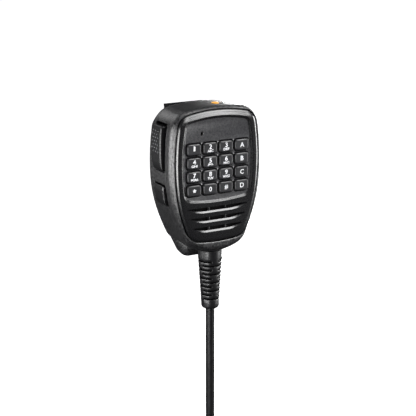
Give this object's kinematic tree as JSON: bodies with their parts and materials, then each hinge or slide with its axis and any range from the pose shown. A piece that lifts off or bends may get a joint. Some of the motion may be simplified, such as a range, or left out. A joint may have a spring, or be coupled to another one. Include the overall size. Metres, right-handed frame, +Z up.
{
  "type": "hand microphone",
  "caption": "Hand microphone with a tapered two-shell housing, a keypad panel over sound slots, side talk buttons, a rear belt clip and a hanging cable with a modular plug.",
  "frame": {"origin": "axis of the belt clip's hinge pin at the middle of its length, where the clip hangs from a strap", "axes": "+X to the object's right seen from the front, +Y from the front face to the back, +Z up"},
  "size_m": [0.0631, 0.0465, 0.3526],
  "materials": {
    "shell_plastic": "fine spark-eroded grain",
    "panel_plastic": "satin with polished bevels",
    "key_rubber": "smooth satin silicone with white legends",
    "button_rubber": "smooth satin",
    "seal_rubber": "matte",
    "mat_silicone": "matte translucent grey",
    "dome_metal": "bright",
    "screw_steel": "zinc plated",
    "board_laminate": "solder mask",
    "chip_plastic": "moulded",
    "capsule_metal": "drawn",
    "mesh_cloth": "fine woven mesh",
    "foam": "open-cell foam",
    "speaker_metal": "pressed steel",
    "cone_paper": "pressed film",
    "orange_plastic": "satin orange",
    "lens_clear": "clear lens",
    "lamp_body": "clear cast resin",
    "clip_plastic": "satin moulded",
    "pin_steel": "ground",
    "relief_rubber": "satin moulded",
    "clamp_plastic": "moulded nylon",
    "connector_plastic": "moulded nylon",
    "cable_jacket": "smooth satin jacket",
    "tie_strap": "moulded strap",
    "boot_rubber": "moulded",
    "plug_clear": "clear polycarbonate"
  },
  "bodies": {
    "housing": {"front_shell": "shell_plastic", "front_panel": "panel_plastic", "rear_shell": "shell_plastic", "shell_gasket": "seal_rubber", "case_screws": "screw_steel", "keypad_mat": "mat_silicone", "snap_domes": "dome_metal", "main_board": "board_laminate", "board_chips": "chip_plastic", "board_screws": "screw_steel", "mic_capsule": "capsule_metal", "mic_boot": "seal_rubber", "slot_mesh": "mesh_cloth", "speaker_gasket": "foam", "speaker_frame": "speaker_metal", "speaker_cone": "cone_paper", "speaker_magnet": "speaker_metal", "side_seal": "seal_rubber", "side_board": "board_laminate", "ptt_switch": "chip_plastic", "side_switch": "chip_plastic", "lamp_lens": "lens_clear", "lamp": "lamp_body", "top_board": "board_laminate", "top_switch": "chip_plastic", "clip_bracket": "clip_plastic", "clip_screws": "screw_steel", "clip_pin": "pin_steel", "clip_spring": "pin_steel", "strain_relief": "relief_rubber", "cable_clamp": "clamp_plastic", "cable_connector": "connector_plastic", "cable_leads": "cable_jacket", "cable": "cable_jacket", "cable_hank": "cable_jacket", "hank_tie": "tie_strap", "cable_tail": "cable_jacket", "plug_boot": "boot_rubber", "plug_body": "plug_clear", "plug_latch": "plug_clear"},
    "key_1": {"key_1": "key_rubber"},
    "key_2": {"key_2": "key_rubber"},
    "key_3": {"key_3": "key_rubber"},
    "key_a": {"key_a": "key_rubber"},
    "key_4": {"key_4": "key_rubber"},
    "key_5": {"key_5": "key_rubber"},
    "key_6": {"key_6": "key_rubber"},
    "key_b": {"key_b": "key_rubber"},
    "key_7": {"key_7": "key_rubber"},
    "key_8": {"key_8": "key_rubber"},
    "key_9": {"key_9": "key_rubber"},
    "key_c": {"key_c": "key_rubber"},
    "key_star": {"key_star": "key_rubber"},
    "key_0": {"key_0": "key_rubber"},
    "key_hash": {"key_hash": "key_rubber"},
    "key_d": {"key_d": "key_rubber"},
    "talk_button": {"ptt_button": "button_rubber"},
    "lower_button": {"side_button": "button_rubber"},
    "orange_button": {"top_button": "orange_plastic"},
    "clip": {"clip_lever": "clip_plastic"}
  },
  "joints": [
    {"name": "key_1_press", "type": "slide", "parent": "housing", "child": "key_1", "axis": [0, 1, 0], "range_m": [0, 0.0007], "stiffness_N_per_m": 900},
    {"name": "key_2_press", "type": "slide", "parent": "housing", "child": "key_2", "axis": [0, 1, 0], "range_m": [0, 0.0007], "stiffness_N_per_m": 900},
    {"name": "key_3_press", "type": "slide", "parent": "housing", "child": "key_3", "axis": [0, 1, 0], "range_m": [0, 0.0007], "stiffness_N_per_m": 900},
    {"name": "key_a_press", "type": "slide", "parent": "housing", "child": "key_a", "axis": [0, 1, 0], "range_m": [0, 0.0007], "stiffness_N_per_m": 900},
    {"name": "key_4_press", "type": "slide", "parent": "housing", "child": "key_4", "axis": [0, 1, 0], "range_m": [0, 0.0007], "stiffness_N_per_m": 900},
    {"name": "key_5_press", "type": "slide", "parent": "housing", "child": "key_5", "axis": [0, 1, 0], "range_m": [0, 0.0007], "stiffness_N_per_m": 900},
    {"name": "key_6_press", "type": "slide", "parent": "housing", "child": "key_6", "axis": [0, 1, 0], "range_m": [0, 0.0007], "stiffness_N_per_m": 900},
    {"name": "key_b_press", "type": "slide", "parent": "housing", "child": "key_b", "axis": [0, 1, 0], "range_m": [0, 0.0007], "stiffness_N_per_m": 900},
    {"name": "key_7_press", "type": "slide", "parent": "housing", "child": "key_7", "axis": [0, 1, 0], "range_m": [0, 0.0007], "stiffness_N_per_m": 900},
    {"name": "key_8_press", "type": "slide", "parent": "housing", "child": "key_8", "axis": [0, 1, 0], "range_m": [0, 0.0007], "stiffness_N_per_m": 900},
    {"name": "key_9_press", "type": "slide", "parent": "housing", "child": "key_9", "axis": [0, 1, 0], "range_m": [0, 0.0007], "stiffness_N_per_m": 900},
    {"name": "key_c_press", "type": "slide", "parent": "housing", "child": "key_c", "axis": [0, 1, 0], "range_m": [0, 0.0007], "stiffness_N_per_m": 900},
    {"name": "key_star_press", "type": "slide", "parent": "housing", "child": "key_star", "axis": [0, 1, 0], "range_m": [0, 0.0007], "stiffness_N_per_m": 900},
    {"name": "key_0_press", "type": "slide", "parent": "housing", "child": "key_0", "axis": [0, 1, 0], "range_m": [0, 0.0007], "stiffness_N_per_m": 900},
    {"name": "key_hash_press", "type": "slide", "parent": "housing", "child": "key_hash", "axis": [0, 1, 0], "range_m": [0, 0.0007], "stiffness_N_per_m": 900},
    {"name": "key_d_press", "type": "slide", "parent": "housing", "child": "key_d", "axis": [0, 1, 0], "range_m": [0, 0.0007], "stiffness_N_per_m": 900},
    {"name": "talk_button_tilt", "type": "hinge", "parent": "housing", "child": "talk_button", "pos_m": [-0.0276, -0.025, -0.015], "axis": [0, 1, 0], "range_deg": [0, 3], "stiffness_Nm_per_rad": 1.2},
    {"name": "lower_button_press", "type": "slide", "parent": "housing", "child": "lower_button", "axis": [1, 0, 0], "range_m": [0, 0.0008], "stiffness_N_per_m": 1200},
    {"name": "orange_button_press", "type": "slide", "parent": "housing", "child": "orange_button", "axis": [0, 0, -1], "range_m": [0, 0.0006], "stiffness_N_per_m": 1200},
    {"name": "clip_lever_turn", "type": "hinge", "parent": "housing", "child": "clip", "pos_m": [0, 0, 0], "axis": [1, 0, 0], "range_deg": [0, 25], "stiffness_Nm_per_rad": 0.25}
  ]
}
